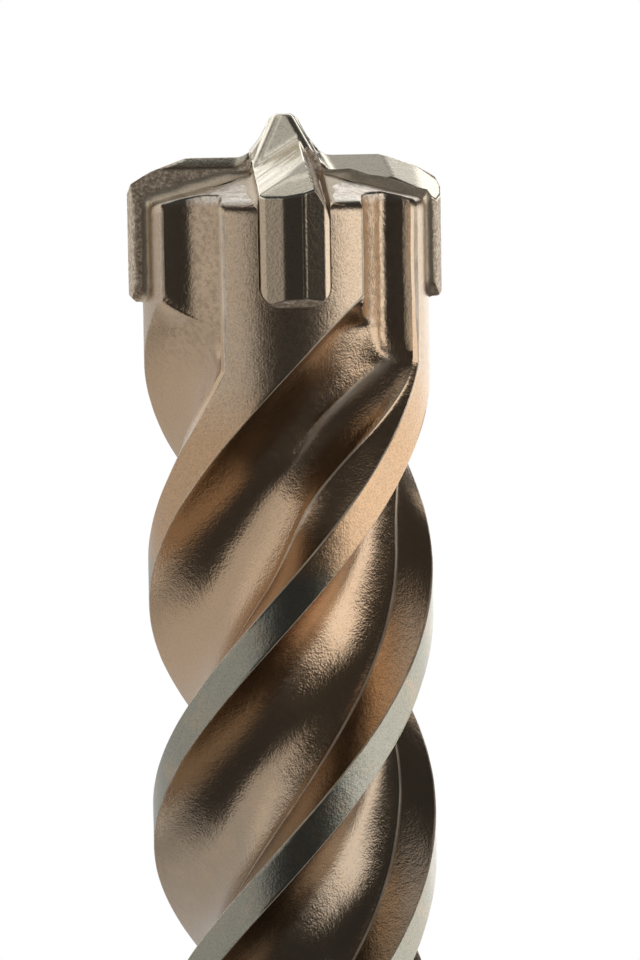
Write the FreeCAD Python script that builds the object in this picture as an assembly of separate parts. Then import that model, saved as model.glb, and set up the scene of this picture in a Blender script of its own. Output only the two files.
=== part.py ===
import FreeCAD, Part
import math
import os

# A masonry drill bit with four carbide cutters, four helical flutes and a slotted hammer shank.
# It stands upright on the flat end of its shank, with its axis on Z and the centring point on top.
# The origin is the centre of the shank's end face.
# Wing 0 points along -Y and the others follow every quarter turn, counter-clockwise seen from above.
# The bit turns clockwise into the wall, seen from the shank, so a wing's leading side faces the way
# of rising angle.

# Driving dimensions, in millimetres and degrees
OVERALL_LENGTH = 160.0
HEAD_DIAMETER = 16.0
BODY_DIAMETER = 14.5
NECK_DIAMETER = 13.8
SHANK_DIAMETER = 10.0
SHANK_LENGTH = 60.0
WING_COUNT = 4
FIRST_WING_ANGLE = -90.0

# Carbide cross, with heights measured down from the level ridge of the side cutters
POINT_HEIGHT = 1.95
POINT_TOP_WIDTH = 1.0
POINT_SIDE_ANGLE = 63.0
POINT_FOOT_FILLET = 1.4
CUTTER_THICKNESS = 3.45
CUTTER_DEPTH = 7.35
CUTTER_FOOT_RADIUS = 1.0
CUTTER_FOOT_CHAMFER = 0.37
RIDGE_OFFSET = 1.0
FLANK_ANGLE = 25.0
RAKE_ANGLE = 61.0
MAIN_RIDGE_RISE = 1.2
PLATEAU_RADIUS = 4.95
SHOULDER_RADIUS = 6.85
SHOULDER_ANGLE = 24.0
RIM_ANGLE = 36.0
RIM_CLEARANCE_ANGLE = 12.0

# Outer end of each cutter, seen from above: a narrow margin with a facet on either side
MARGIN_WIDTH = 0.2
MARGIN_OFFSET = 0.45
MIDDLE_FACET_WIDTH = 0.85
MIDDLE_FACET_ANGLE = 4.0
TRAILING_FACET_ANGLE = 18.0
LEADING_FACET_ANGLE = 9.0

# Braze that fills the slot round the carbide
BRAZE_THICKNESS = 0.15

# Steel wings of the head, with the straight dust recesses between them
LEDGE_DROP = 2.25
LEDGE_SLOPE = 16.0
LEDGE_CHAMFER = 0.35
WING_HALF_ANGLE = 28.5
RECESS_DEPTH = 1.55
WING_EDGE_ANGLE = 2.5
WING_EDGE_DROP = 0.18
LEADING_TURN_DEPTH = 6.9
TRAILING_TURN_DEPTH = 10.55

# Helical flutes: a long channel, a crest and a short channel between two lands
FLUTE_LEAD_LENGTH = 50.0
LAND_ANGLE = 16.0
HELIX_PHASE_DEPTH = 10.15
LEADING_SETTLE_LENGTH = 2.0
TRAILING_SETTLE_LENGTH = 3.5
FLUTE_DEPTH = 3.0
DEEPEN_START_DEPTH = 6.9
DEEPEN_LENGTH = 8.0
CREST_ANGLE = 22.0
CREST_DEPTH = 1.87
CREST_GROW_LENGTH = 8.5
FLUTE_RUNOUT_LENGTH = 14.0
PLAIN_NECK_LENGTH = 3.0
NECK_CONE_ANGLE = 30.0

# Slotted shank: two open drive slots and two closed ball grooves
SHANK_END_CHAMFER = 0.5
DRIVE_SLOT_WIDTH = 3.1
DRIVE_SLOT_DEPTH = 1.9
DRIVE_SLOT_LENGTH = 30.0
BALL_GROOVE_RADIUS = 2.6
BALL_GROOVE_DEPTH = 1.65
BALL_GROOVE_START = 8.4
BALL_GROOVE_LENGTH = 19.0

# Levels and radii that follow from the driving dimensions
HEAD_RADIUS = HEAD_DIAMETER / 2
BODY_RADIUS = BODY_DIAMETER / 2
NECK_RADIUS = NECK_DIAMETER / 2
SHANK_RADIUS = SHANK_DIAMETER / 2
WING_STEP = 360.0 / WING_COUNT
RIDGE_Z = OVERALL_LENGTH - POINT_HEIGHT
CUTTER_FOOT_Z = RIDGE_Z - CUTTER_DEPTH
LEDGE_Z = RIDGE_Z - LEDGE_DROP
LEADING_TURN_Z = RIDGE_Z - LEADING_TURN_DEPTH
TRAILING_TURN_Z = RIDGE_Z - TRAILING_TURN_DEPTH
NECK_CONE_HEIGHT = (NECK_RADIUS - SHANK_RADIUS) / math.tan(math.radians(NECK_CONE_ANGLE))
NECK_START_Z = SHANK_LENGTH + NECK_CONE_HEIGHT
FLUTE_START_Z = NECK_START_Z + PLAIN_NECK_LENGTH
OVERSIZE = 4 * HEAD_DIAMETER

# Straight dust recess between the wings: places across it, as shares of its width from the leading
# edge of one wing to the crest before the next, and its depth there as shares of its full depth
RECESS_PLACES = (0.0, 0.13, 0.26, 0.4, 0.6, 0.76, 0.89, 1.0)
RECESS_SHARES = (0.0, 0.5, 0.93, 1.0, 1.0, 0.9, 0.52, 0.0)
CHANNEL_STATIONS = tuple(place / (len(RECESS_PLACES) - 1) for place in range(len(RECESS_PLACES)))
CREST_ONSET_POWER = 6

# Depth across the short channel, as shares of the crest's depth, up to the next land's trailing edge
BACK_STATIONS = (0.0, 0.3, 0.6, 0.8, 1.0)
BACK_SHARES = (1.0, 1.03, 0.98, 0.57, 0.0)

LAND_STATIONS = (0.0, 0.5, 1.0)

# Section heights are closest below the head, where the edges turn from straight to helical:
# each pair is a depth below that turn and the step between sections down to it
SECTION_STEPS = ((4.4, 0.9), (12.0, 1.9), (OVERALL_LENGTH, 5.5))


def smooth(share):
    """Eases from 0 to 1, level at both ends."""
    share = min(max(share, 0.0), 1.0)
    return share * share * (3 - 2 * share)


def slope(angle):
    return math.tan(math.radians(angle))


def polar(radius, angle, z):
    turn = math.radians(angle)
    return FreeCAD.Vector(radius * math.cos(turn), radius * math.sin(turn), z)


def helix_angle(z):
    """Leading edge of a land on the plain helix, measured from the middle of its wing."""
    return (z - RIDGE_Z + HELIX_PHASE_DEPTH) * 360.0 / FLUTE_LEAD_LENGTH


def leading_angle(z):
    """Straight down the wing, then a turn that settles onto the helix."""
    surplus = WING_HALF_ANGLE - helix_angle(LEADING_TURN_Z)
    return helix_angle(z) + surplus * math.exp((z - LEADING_TURN_Z) / LEADING_SETTLE_LENGTH)


def trailing_angle(z):
    """Straight down the wing for longer, then a turn that narrows the land to its final width."""
    if z >= TRAILING_TURN_Z:
        return -WING_HALF_ANGLE
    surplus = -WING_HALF_ANGLE - helix_angle(TRAILING_TURN_Z) + LAND_ANGLE
    settled = surplus * math.exp((z - TRAILING_TURN_Z) / TRAILING_SETTLE_LENGTH)
    return helix_angle(z) - LAND_ANGLE + settled


def flute_arc():
    """Places and depths across the helical channel, which is a circle in section. The circle runs
    through the leading edge and the crest, and comes no nearer to the axis than the flute's floor."""
    floor = BODY_RADIUS - FLUTE_DEPTH
    crest = BODY_RADIUS - CREST_DEPTH
    width = math.radians(WING_STEP - LAND_ANGLE - CREST_ANGLE)
    base_x = (BODY_RADIUS ** 2 + floor ** 2) / (2 * BODY_RADIUS)
    gain_x = floor / BODY_RADIUS
    base_y = ((crest ** 2 + floor ** 2) / (2 * crest) - base_x * math.cos(width)) / math.sin(width)
    gain_y = (floor / crest - gain_x * math.cos(width)) / math.sin(width)
    square = gain_x ** 2 + gain_y ** 2 - 1
    half_linear = base_x * gain_x + base_y * gain_y - floor
    constant = base_x ** 2 + base_y ** 2 - floor ** 2
    radius = (-half_linear - math.sqrt(half_linear ** 2 - square * constant)) / square
    x, y = base_x + gain_x * radius, base_y + gain_y * radius
    start = math.atan2(-y, BODY_RADIUS - x) % (2 * math.pi)
    end = math.atan2(crest * math.sin(width) - y, crest * math.cos(width) - x) % (2 * math.pi)
    points = []
    for station in CHANNEL_STATIONS:
        turn = start + (end - start) * station
        across, out = y + radius * math.sin(turn), x + radius * math.cos(turn)
        place = math.atan2(across, out) / width
        drop = BODY_RADIUS - math.hypot(out, across)
        points.append((place, (drop - CREST_DEPTH * place ** CREST_ONSET_POWER) / FLUTE_DEPTH))
    return points


def section_curves(z):
    """Outline of the steel at one height: for each wing its land, a long channel and a short one."""
    helical = smooth((RIDGE_Z - DEEPEN_START_DEPTH - z) / DEEPEN_LENGTH)
    crested = smooth((TRAILING_TURN_Z - z) / CREST_GROW_LENGTH)
    runout = smooth((z - FLUTE_START_Z) / FLUTE_RUNOUT_LENGTH)
    depth = (RECESS_DEPTH + (FLUTE_DEPTH - RECESS_DEPTH) * helical) * runout
    crest_drop = (WING_EDGE_DROP + (CREST_DEPTH - WING_EDGE_DROP) * crested) * runout
    crest_width = WING_EDGE_ANGLE + (CREST_ANGLE - WING_EDGE_ANGLE) * crested
    leading = leading_angle(z)
    trailing = trailing_angle(z)
    crest = WING_STEP + trailing - crest_width
    land = [(trailing + (leading - trailing) * station, BODY_RADIUS) for station in LAND_STATIONS]
    channel = []
    for recess_place, recess_share, (flute_place, flute_share) in zip(
            RECESS_PLACES, RECESS_SHARES, flute_arc()):
        place = recess_place + (flute_place - recess_place) * helical
        share = recess_share + (flute_share - recess_share) * helical
        drop = share * depth + crest_drop * place ** CREST_ONSET_POWER
        channel.append((leading + (crest - leading) * place, BODY_RADIUS - drop))
    back = []
    for station, share in zip(BACK_STATIONS, BACK_SHARES):
        back.append((crest + crest_width * station, BODY_RADIUS - share * crest_drop))
    outline = ((LAND_STATIONS, land), (CHANNEL_STATIONS, channel), (BACK_STATIONS, back))
    curves = []
    for wing in range(WING_COUNT):
        middle = FIRST_WING_ANGLE + WING_STEP * wing
        for stations, line in outline:
            curve = Part.BSplineCurve()
            points = [polar(radius, middle + angle, z) for angle, radius in line]
            curve.interpolate(Points=points, Parameters=list(stations))
            curves.append(curve)
    return curves


def section_heights():
    """Heights of the sections from the foot of the flutes up to the leading edges' turn."""
    heights = [LEADING_TURN_Z]
    for depth, step in SECTION_STEPS:
        while LEADING_TURN_Z - heights[-1] < depth and heights[-1] > FLUTE_START_Z + step:
            heights.append(heights[-1] - step)
    heights[-1] = FLUTE_START_Z
    return heights[::-1]


def skin(curves, heights):
    """Surface through like curves at rising heights: each row of their poles is joined by a spline."""
    rows = []
    for row in zip(*[curve.getPoles() for curve in curves]):
        line = Part.BSplineCurve()
        line.interpolate(Points=list(row), Parameters=heights)
        rows.append(line)
    across = curves[0]
    along = rows[0]
    surface = Part.BSplineSurface()
    surface.buildFromPolesMultsKnots(
        [row.getPoles() for row in rows],
        across.getMultiplicities(), along.getMultiplicities(),
        across.getKnots(), along.getKnots(),
        False, False, across.Degree, along.Degree)
    return surface


def fluted_steel():
    """Helical lands and channels in quarter-turn lengths, with the straight wings above them."""
    heights = section_heights()
    sections = [section_curves(z) for z in heights]
    lengths = math.ceil((heights[-1] - heights[0]) / (FLUTE_LEAD_LENGTH / WING_COUNT))
    cuts = [heights[0] + (heights[-1] - heights[0]) * cut / lengths for cut in range(lengths + 1)]
    faces = []
    for strip in zip(*sections):
        surface = skin(strip, heights)
        start, end = surface.bounds()[:2]
        for low, high in zip(cuts, cuts[1:]):
            length = surface.copy()
            length.segment(start, end, low, high)
            faces.append(length.toShape())
    foot = Part.Wire([curve.toShape() for curve in sections[0]])
    turn = Part.Wire([curve.toShape() for curve in sections[-1]])
    rise = FreeCAD.Vector(0, 0, OVERALL_LENGTH - LEADING_TURN_Z)
    faces += [edge.extrude(rise) for edge in turn.Edges]
    top = turn.copy()
    top.translate(rise)
    faces += [Part.Face(foot), Part.Face(top)]
    shell = Part.makeShell(faces)
    shell.sewShape()
    return Part.makeSolid(shell)


def turned(profile):
    """Solid of revolution about Z from (radius, height) corners."""
    points = [FreeCAD.Vector(radius, 0, height) for radius, height in profile]
    outline = Part.makePolygon(points + points[:1])
    return Part.Face(outline).revolve(FreeCAD.Vector(0, 0, 0), FreeCAD.Vector(0, 0, 1), 360)


def ledge_trim():
    """What the steel head is cut back by: all above a cone, and a small chamfer round its foot."""
    rim = BODY_RADIUS - LEDGE_CHAMFER
    apex = LEDGE_Z + rim * slope(LEDGE_SLOPE)
    outside = BODY_RADIUS + LEDGE_CHAMFER
    return turned([
        (0, apex), (rim, LEDGE_Z), (outside, LEDGE_Z - 2 * LEDGE_CHAMFER),
        (outside, OVERALL_LENGTH + OVERSIZE), (0, OVERALL_LENGTH + OVERSIZE)])


def shank_and_neck():
    body = turned([
        (0, 0), (SHANK_RADIUS - SHANK_END_CHAMFER, 0), (SHANK_RADIUS, SHANK_END_CHAMFER),
        (SHANK_RADIUS, SHANK_LENGTH), (NECK_RADIUS, NECK_START_Z),
        (NECK_RADIUS, FLUTE_START_Z), (0, FLUTE_START_Z)])
    for side in (0, 180):
        body = body.cut(drive_slot(side)).cut(ball_groove(side + 90))
    return body


def drive_slot(angle):
    """Slot open at the shank's end, with a half-round upper end."""
    floor = SHANK_RADIUS - DRIVE_SLOT_DEPTH
    half = DRIVE_SLOT_WIDTH / 2
    straight = DRIVE_SLOT_LENGTH - half
    corner = FreeCAD.Vector(floor, -half, -SHANK_RADIUS)
    channel = Part.makeBox(SHANK_RADIUS, DRIVE_SLOT_WIDTH, straight + SHANK_RADIUS, corner)
    centre = FreeCAD.Vector(floor, 0, straight)
    end = Part.makeCylinder(half, SHANK_RADIUS, centre, FreeCAD.Vector(1, 0, 0))
    slot = channel.fuse(end)
    slot.rotate(FreeCAD.Vector(0, 0, 0), FreeCAD.Vector(0, 0, 1), angle)
    return slot


def ball_groove(angle):
    """Round-bottomed groove closed at both ends, where a locking ball runs."""
    out = SHANK_RADIUS - BALL_GROOVE_DEPTH + BALL_GROOVE_RADIUS
    low = FreeCAD.Vector(out, 0, BALL_GROOVE_START + BALL_GROOVE_RADIUS)
    run = BALL_GROOVE_LENGTH - 2 * BALL_GROOVE_RADIUS
    high = low + FreeCAD.Vector(0, 0, run)
    groove = Part.makeCylinder(BALL_GROOVE_RADIUS, run, low)
    groove = groove.fuse(Part.makeSphere(BALL_GROOVE_RADIUS, low))
    groove = groove.fuse(Part.makeSphere(BALL_GROOVE_RADIUS, high))
    groove.rotate(FreeCAD.Vector(0, 0, 0), FreeCAD.Vector(0, 0, 1), angle)
    return groove


def plate(half_thickness, foot_z, foot_radius, length):
    """Arm along X with a U-shaped section: upright sides and rounded lower corners."""
    top = OVERALL_LENGTH + POINT_HEIGHT
    centre_z = foot_z + foot_radius
    inner = half_thickness - foot_radius
    diagonal = foot_radius * math.sqrt(0.5)
    at = lambda y, z: FreeCAD.Vector(0, y, z)
    right = Part.Arc(
        at(inner, foot_z), at(inner + diagonal, centre_z - diagonal), at(half_thickness, centre_z))
    left = Part.Arc(
        at(-half_thickness, centre_z), at(-inner - diagonal, centre_z - diagonal), at(-inner, foot_z))
    outline = Part.Wire([
        Part.makeLine(at(-inner, foot_z), at(inner, foot_z)), right.toShape(),
        Part.makeLine(at(half_thickness, centre_z), at(half_thickness, top)),
        Part.makeLine(at(half_thickness, top), at(-half_thickness, top)),
        Part.makeLine(at(-half_thickness, top), at(-half_thickness, centre_z)), left.toShape()])
    return Part.Face(outline).extrude(FreeCAD.Vector(length, 0, 0))


def cut_above(shape, point, normal):
    """Removes what lies on the side of a plane that its normal points to."""
    block = Part.makeBox(OVERSIZE, OVERSIZE, OVERSIZE, FreeCAD.Vector(-OVERSIZE / 2, -OVERSIZE / 2, 0))
    turn = FreeCAD.Rotation(FreeCAD.Vector(0, 0, 1), normal)
    block.Placement = FreeCAD.Placement(point, turn)
    return shape.cut(block)


def end_outline():
    """Plan of a cutter's outer end: margin in the middle, one leading and two trailing facets."""
    half = CUTTER_THICKNESS / 2
    reach = math.sqrt(HEAD_RADIUS ** 2 - (MARGIN_OFFSET + MARGIN_WIDTH / 2) ** 2)
    front = MARGIN_OFFSET + MARGIN_WIDTH / 2
    back = MARGIN_OFFSET - MARGIN_WIDTH / 2
    middle = back - MIDDLE_FACET_WIDTH
    middle_reach = reach - MIDDLE_FACET_WIDTH * slope(MIDDLE_FACET_ANGLE)
    points = [
        (-HEAD_RADIUS, half), (reach - (half - front) * slope(LEADING_FACET_ANGLE), half),
        (reach, front), (reach, back), (middle_reach, middle),
        (middle_reach - (half + middle) * slope(TRAILING_FACET_ANGLE), -half), (-HEAD_RADIUS, -half)]
    corners = [FreeCAD.Vector(x, y, 0) for x, y in points]
    outline = Part.Face(Part.makePolygon(corners + corners[:1]))
    return outline.extrude(FreeCAD.Vector(0, 0, OVERALL_LENGTH + OVERSIZE))


def cutter_arm(wing):
    """One cutter: a plate whose top is ground to a ridge, with shoulder and rim falling outwards."""
    main = wing % 2 == 0
    rise = MAIN_RIDGE_RISE / PLATEAU_RADIUS if main else 0.0
    arm = plate(CUTTER_THICKNESS / 2, CUTTER_FOOT_Z, CUTTER_FOOT_RADIUS, HEAD_RADIUS)
    arm = arm.common(end_outline())
    ridge = FreeCAD.Vector(PLATEAU_RADIUS, RIDGE_OFFSET, RIDGE_Z)
    arm = cut_above(arm, ridge, FreeCAD.Vector(rise, -slope(FLANK_ANGLE), 1))
    arm = cut_above(arm, ridge, FreeCAD.Vector(rise, slope(RAKE_ANGLE), 1))
    clearance = slope(RIM_CLEARANCE_ANGLE)
    arm = cut_above(arm, ridge, FreeCAD.Vector(slope(SHOULDER_ANGLE), -clearance, 1))
    fall = (SHOULDER_RADIUS - PLATEAU_RADIUS) * slope(SHOULDER_ANGLE)
    shoulder = FreeCAD.Vector(SHOULDER_RADIUS, RIDGE_OFFSET, RIDGE_Z - fall)
    arm = cut_above(arm, shoulder, FreeCAD.Vector(slope(RIM_ANGLE), -clearance, 1))
    foot = FreeCAD.Vector(HEAD_RADIUS, 0, CUTTER_FOOT_Z + CUTTER_FOOT_CHAMFER)
    return cut_above(arm, foot, FreeCAD.Vector(1, 0, -1))


def centring_point():
    """Four-sided taper with a flat top, standing on the crossing of the ridges."""
    top = POINT_TOP_WIDTH / 2
    foot_z = LEDGE_Z
    foot = top + (OVERALL_LENGTH - foot_z) / slope(POINT_SIDE_ANGLE)
    wires = []
    for half, z in ((foot, foot_z), (top, OVERALL_LENGTH)):
        corners = [FreeCAD.Vector(x * half, y * half, z) for x, y in ((1, 1), (-1, 1), (-1, -1), (1, -1))]
        wires.append(Part.makePolygon(corners + corners[:1]))
    return Part.makeLoft(wires, True, True)


def ridge_fillet():
    """Concave run from the point's side onto the level ridge of a cutter along X. Its profile stands
    on the ridge and slides down the flank on one side and down the rake face on the other."""
    side = math.radians(POINT_SIDE_ANGLE)
    reach = POINT_FOOT_FILLET * math.tan(side / 2)
    corner = POINT_TOP_WIDTH / 2 + POINT_HEIGHT / math.tan(side)
    at = lambda x, z: FreeCAD.Vector(x, RIDGE_OFFSET, z)
    start = at(corner - reach * math.cos(side), RIDGE_Z + reach * math.sin(side))
    end = at(corner + reach, RIDGE_Z)
    middle = at(
        end.x - POINT_FOOT_FILLET * math.sin(side / 2),
        RIDGE_Z + POINT_FOOT_FILLET * (1 - math.cos(side / 2)))
    below = RIDGE_Z - POINT_HEIGHT
    profile = Part.Face(Part.Wire([
        Part.Arc(start, middle, end).toShape(), Part.makeLine(end, at(end.x, below)),
        Part.makeLine(at(end.x, below), at(0, below)), Part.makeLine(at(0, below), at(0, start.z)),
        Part.makeLine(at(0, start.z), start)]))
    flank_width = RIDGE_OFFSET + CUTTER_THICKNESS / 2
    rake_width = CUTTER_THICKNESS / 2 - RIDGE_OFFSET
    flank = profile.extrude(FreeCAD.Vector(0, -flank_width, -flank_width * slope(FLANK_ANGLE)))
    return flank.fuse(profile.extrude(FreeCAD.Vector(0, rake_width, -rake_width * slope(RAKE_ANGLE))))


def carbide_head():
    """Four cutters about the axis and the point on their crossing, sintered as one piece."""
    head = centring_point()
    for wing in range(WING_COUNT):
        arm = cutter_arm(wing)
        if wing % 2:
            arm = arm.fuse(ridge_fillet())
        arm.rotate(FreeCAD.Vector(0, 0, 0), FreeCAD.Vector(0, 0, 1), FIRST_WING_ANGLE + WING_STEP * wing)
        head = head.fuse(arm)
    return head.removeSplitter()


def crossing_bars(half_thickness, foot_z, foot_radius):
    """Two crossed bars, longer than the head is wide, with the section of a cutter."""
    bar = plate(half_thickness, foot_z, foot_radius, OVERSIZE)
    bar.translate(FreeCAD.Vector(-OVERSIZE / 2, 0, 0))
    other = bar.copy()
    other.rotate(FreeCAD.Vector(0, 0, 0), FreeCAD.Vector(0, 0, 1), WING_STEP)
    return bar.fuse(other)


def cutter_blanks():
    """The cutters before grinding, used to hollow the braze."""
    return crossing_bars(CUTTER_THICKNESS / 2, CUTTER_FOOT_Z, CUTTER_FOOT_RADIUS)


def cutter_slots():
    """Slots for the cutters, larger than them by the braze on their sides and under their foot."""
    return crossing_bars(
        CUTTER_THICKNESS / 2 + BRAZE_THICKNESS, CUTTER_FOOT_Z - BRAZE_THICKNESS,
        CUTTER_FOOT_RADIUS + BRAZE_THICKNESS)


def build():
    steel = fluted_steel().cut(ledge_trim())
    slots = cutter_slots()
    braze = steel.common(slots).cut(cutter_blanks())
    body = steel.cut(slots).fuse(shank_and_neck())
    return {"drill_body": body, "carbide_head": carbide_head(), "braze_seam": braze}


def main():
    os.makedirs("parts", exist_ok=True)
    for node, shape in build().items():
        shape.exportStep(f"parts/{node}.step")
        print(node, shape.isValid(), len(shape.Solids), round(shape.Volume, 2), shape.BoundBox)


main()
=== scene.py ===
import bpy
import numpy as np
from mathutils import Matrix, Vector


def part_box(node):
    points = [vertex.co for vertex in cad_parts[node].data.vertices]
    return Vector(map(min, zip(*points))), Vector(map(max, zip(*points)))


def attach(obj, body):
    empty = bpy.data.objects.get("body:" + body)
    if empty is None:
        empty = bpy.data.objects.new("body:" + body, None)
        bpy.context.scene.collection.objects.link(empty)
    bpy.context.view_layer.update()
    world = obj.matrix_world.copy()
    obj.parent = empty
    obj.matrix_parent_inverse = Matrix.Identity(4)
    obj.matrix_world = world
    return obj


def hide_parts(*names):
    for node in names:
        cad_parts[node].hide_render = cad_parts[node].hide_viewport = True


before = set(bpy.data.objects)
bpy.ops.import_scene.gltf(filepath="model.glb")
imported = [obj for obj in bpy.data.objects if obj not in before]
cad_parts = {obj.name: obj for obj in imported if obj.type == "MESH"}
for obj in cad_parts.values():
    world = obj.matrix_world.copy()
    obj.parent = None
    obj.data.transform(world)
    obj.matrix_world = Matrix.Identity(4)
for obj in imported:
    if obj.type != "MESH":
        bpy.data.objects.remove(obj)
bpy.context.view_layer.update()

# Steel body: one bar of hardened steel with four lands and four flutes milled along it. It carries the
# four wings of the head at the top and a slotted round shank at the foot. The wings and flutes are
# blasted to a fine grain, and the heat of the brazing left bronze tints that fade towards the shank.

MM = 0.001
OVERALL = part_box("carbide_head")[1].z / MM
RIDGE_Z = OVERALL - 1.95
BODY_RADIUS = 7.25
NECK_RADIUS = 6.9
SHANK_RADIUS = 5.0
SHANK_LENGTH = 60.0
NECK_CONE = 3.3

WINGS = 4
WING_STEP = 360.0 / WINGS
WING_TURNS = -90.0 + WING_STEP * np.arange(WINGS)
WING_HALF_ANGLE = 28.5
WALL_OFFSET = BODY_RADIUS * np.sin(np.radians(WING_HALF_ANGLE))
WING_EDGE_ANGLE = 2.5
WING_EDGE_DROP = 0.18
LEDGE_Z = RIDGE_Z - 2.25
LEDGE_RADIUS = 6.9
LEDGE_RISE = np.tan(np.radians(16.0))
LEADING_TURN_Z = RIDGE_Z - 6.9
TRAILING_TURN_Z = RIDGE_Z - 10.55
LEADING_SETTLE = 2.0
TRAILING_SETTLE = 3.5

POCKET_FLOOR = 5.75
POCKET_NEAR_CORNER, POCKET_FAR_CORNER = 0.9, 0.27
POCKET_FOOT_Z = TRAILING_TURN_Z + 1.3
POCKET_WITHDRAWS, POCKET_FADES = 4.0, 6.0
TRAIL_TOP_Z = TRAILING_TURN_Z + 1.0
TRAIL_FOOT_Z = RIDGE_Z - 16.65
TRAIL_STARTS, TRAIL_FADES = 1.8, 4.0
TRAIL_NEAR, TRAIL_DRIFT, TRAIL_TURNS = 7.0, 16.0, 4.5
TRAIL_DEPTH, TRAIL_WIDTH = 0.16, 4.0

HELIX_START_Z = RIDGE_Z - 10.15
FLUTE_LEAD = 50.0
FLUTE_START_Z = 66.3
RUNOUT = 14.0
LAND_ANGLE = 16.0
FLUTE_DEPTH = 3.0
FLUTE_SINKS_FAST, FLUTE_SINKS_SLOW = 1.9, 8.0
FLUTE_MEETS_POCKET = 0.1
CREST_DEPTH = 1.87
CREST_START_Z = TRAILING_TURN_Z + 0.5
CREST_CLOSE_Z = RIDGE_Z - 16.3
CREST_WIDEST, CREST_ANGLE = 15.0, 7.5
CREST_OPENS, CREST_CLOSES, CREST_SINKS = 7.5, 5.5, 9.0
LIP_TOP_Z = TRAILING_TURN_Z + 0.3
LIP_HEIGHT, LIP_WIDTH, LIP_BEFORE = 0.09, 1.3, 0.6
LIP_FINE_ANGLE = 3.2
LAND_EDGE, WING_EDGE = 0.05, 0.15

LAND_COLUMNS, CORNER_COLUMNS, CHANNEL_COLUMNS, LIP_COLUMNS, BACK_COLUMNS = 12, 5, 38, 9, 12
WALL_ROWS, OVER_ROWS, TOP_ROWS = 25, 5, 12
CREST_COLUMN = LAND_COLUMNS + CORNER_COLUMNS + CHANNEL_COLUMNS - 2


def smooth(share):
    """Eases from 0 to 1, level at both ends: three squares less two cubes."""
    share = np.clip(share, 0.0, 1.0)
    return share * share * (3 - 2 * share)


def above(level, value, length):
    """0 up to a level, 1 from that length above it, eased between."""
    return smooth((value - level) / length)


def below(level, value, length):
    """0 down to a level, 1 from that length below it, eased between."""
    return smooth((level - value) / length)


def hump(value, centre, width):
    """1 at a centre, falling off as a bell to either side."""
    return np.exp(-((value - centre) / width) ** 2)


def soft_min(one, other, width):
    """The lesser of two surfaces, with the meeting rounded off over a band of that width."""
    near = np.clip(width - np.abs(one - other), 0.0, None)
    return np.minimum(one, other) - near * near / (4 * width)


def soft_max(one, other, width):
    """The greater of two surfaces, with the meeting filled over a band of that width."""
    return -soft_min(-one, -other, width)


def waves(points, size, seed, count=14):
    """Gentle unevenness between about -1 and 1: plane waves of about one length and random headings."""
    draw = np.random.default_rng(seed)
    total = np.zeros(points.shape[:-1])
    for _ in range(count):
        heading = draw.normal(size=3)
        heading *= 2 * np.pi / (size * draw.uniform(0.7, 1.5) * np.linalg.norm(heading))
        total += np.sin(points @ heading + draw.uniform(0, 2 * np.pi))
    return total * np.sqrt(2.0 / count) * 0.6


def helix(z):
    """Angle of a land's leading edge on the plain helix, from the middle of its wing."""
    return (z - HELIX_START_Z) * 360.0 / FLUTE_LEAD


def leading(z):
    """Leading edge: upright on the wing, then a turn that settles onto the helix."""
    surplus = WING_HALF_ANGLE - helix(LEADING_TURN_Z)
    turned_in = helix(z) + surplus * np.exp(np.minimum(z - LEADING_TURN_Z, 0) / LEADING_SETTLE)
    return np.where(z > LEADING_TURN_Z, WING_HALF_ANGLE, turned_in)


def trailing(z):
    """Trailing edge: upright for longer, then a turn that narrows the land to its final width."""
    surplus = LAND_ANGLE - WING_HALF_ANGLE - helix(TRAILING_TURN_Z)
    settled = surplus * np.exp(np.minimum(z - TRAILING_TURN_Z, 0) / TRAILING_SETTLE)
    return np.where(z > TRAILING_TURN_Z, -WING_HALF_ANGLE, helix(z) - LAND_ANGLE + settled)


def crest_width(z):
    """Angle from the crest to the next land: it opens below the head, then closes to a narrow wall."""
    opened = (CREST_WIDEST - WING_EDGE_ANGLE) * below(CREST_START_Z, z, CREST_OPENS)
    closed = (CREST_WIDEST - CREST_ANGLE) * below(CREST_CLOSE_Z, z, CREST_CLOSES)
    return WING_EDGE_ANGLE + opened - closed


def crest_drop(z):
    """Depth of the crest below the body's surface."""
    return WING_EDGE_DROP + (CREST_DEPTH - WING_EDGE_DROP) * below(CREST_START_Z, z, CREST_SINKS)


def pocket_trail(z):
    """How much of the pocket's far corner is left below the head, and its angle before the crest."""
    left = below(TRAIL_TOP_Z, z, TRAIL_STARTS) * above(TRAIL_FOOT_Z, z, TRAIL_FADES)
    return left, TRAIL_NEAR + TRAIL_DRIFT * below(TRAIL_TOP_Z, z, TRAIL_TURNS)


def arc_drop(share):
    """Depth of the milled channel below the body's surface, from the leading edge to the crest. The
    channel is a circle in section, through both edges, that comes no nearer to the axis than its
    floor: with centre C and radius R, |C| = R + floor and |C - edge| = R for either edge."""
    floor = BODY_RADIUS - FLUTE_DEPTH
    width = np.radians(WING_STEP - LAND_ANGLE - CREST_ANGLE)
    far = BODY_RADIUS - CREST_DEPTH
    edges = np.array([[BODY_RADIUS, 0.0], [far * np.cos(width), far * np.sin(width)]])
    level = np.array([BODY_RADIUS ** 2 + floor ** 2, far ** 2 + floor ** 2]) / 2
    base, slope = np.linalg.solve(edges, level), np.linalg.solve(edges, [floor, floor])
    a, b, c = slope @ slope - 1, 2 * (base @ slope - floor), base @ base - floor ** 2
    radius = min(root for root in np.roots([a, b, c]).real if root > 0)
    centre = base + slope * radius
    ray = np.stack([np.cos(share * width), np.sin(share * width)], -1) @ centre
    inside = np.clip(ray ** 2 - centre @ centre + radius ** 2, 0, None)
    return BODY_RADIUS - (ray - np.sqrt(inside))


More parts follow.
